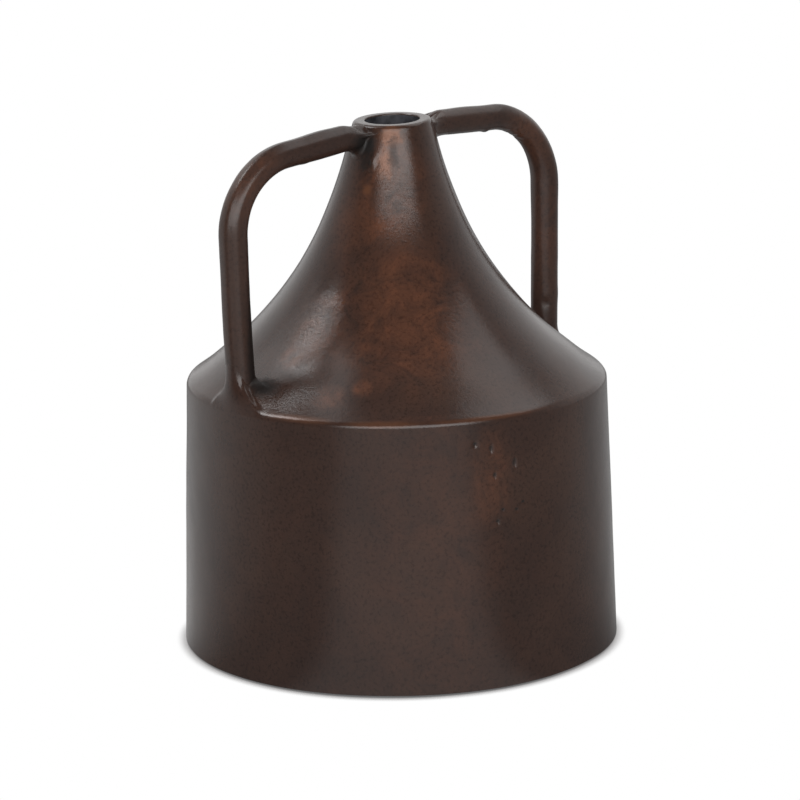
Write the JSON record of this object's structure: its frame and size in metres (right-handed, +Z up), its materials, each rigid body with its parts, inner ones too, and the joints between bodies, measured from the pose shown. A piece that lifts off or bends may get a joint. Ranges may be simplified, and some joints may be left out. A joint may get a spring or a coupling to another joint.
{
  "type": "urn vase",
  "caption": "Metal urn vase: tapered drum, concave shoulder sweeping up to a narrow neck, and bent rod handles from shoulder to neck.",
  "frame": {"origin": "on the table, under the middle of the drum", "axes": "+Z up along the vase axis, the handles along X with the left handle at -X"},
  "size_m": [0.2539, 0.2538, 0.3078],
  "materials": {
    "patinated_metal": "dark bronze-brown patina over a satin cast surface",
    "weld_metal": "dressed weld under the same patina, rubbed to copper along the crease",
    "foot_rubber": "matt black rubber"
  },
  "bodies": {
    "root": {"drum": "patinated_metal", "shoulder_and_neck": "patinated_metal", "shoulder_seam_weld": "weld_metal", "base_plate": "patinated_metal", "base_seam_weld": "weld_metal", "left_handle": "patinated_metal", "left_foot_weld": "weld_metal", "left_neck_weld": "weld_metal", "right_handle": "patinated_metal", "right_foot_weld": "weld_metal", "right_neck_weld": "weld_metal", "rubber_foot_1": "foot_rubber", "rubber_foot_2": "foot_rubber", "rubber_foot_3": "foot_rubber", "rubber_foot_4": "foot_rubber"}
  },
  "joints": []
}
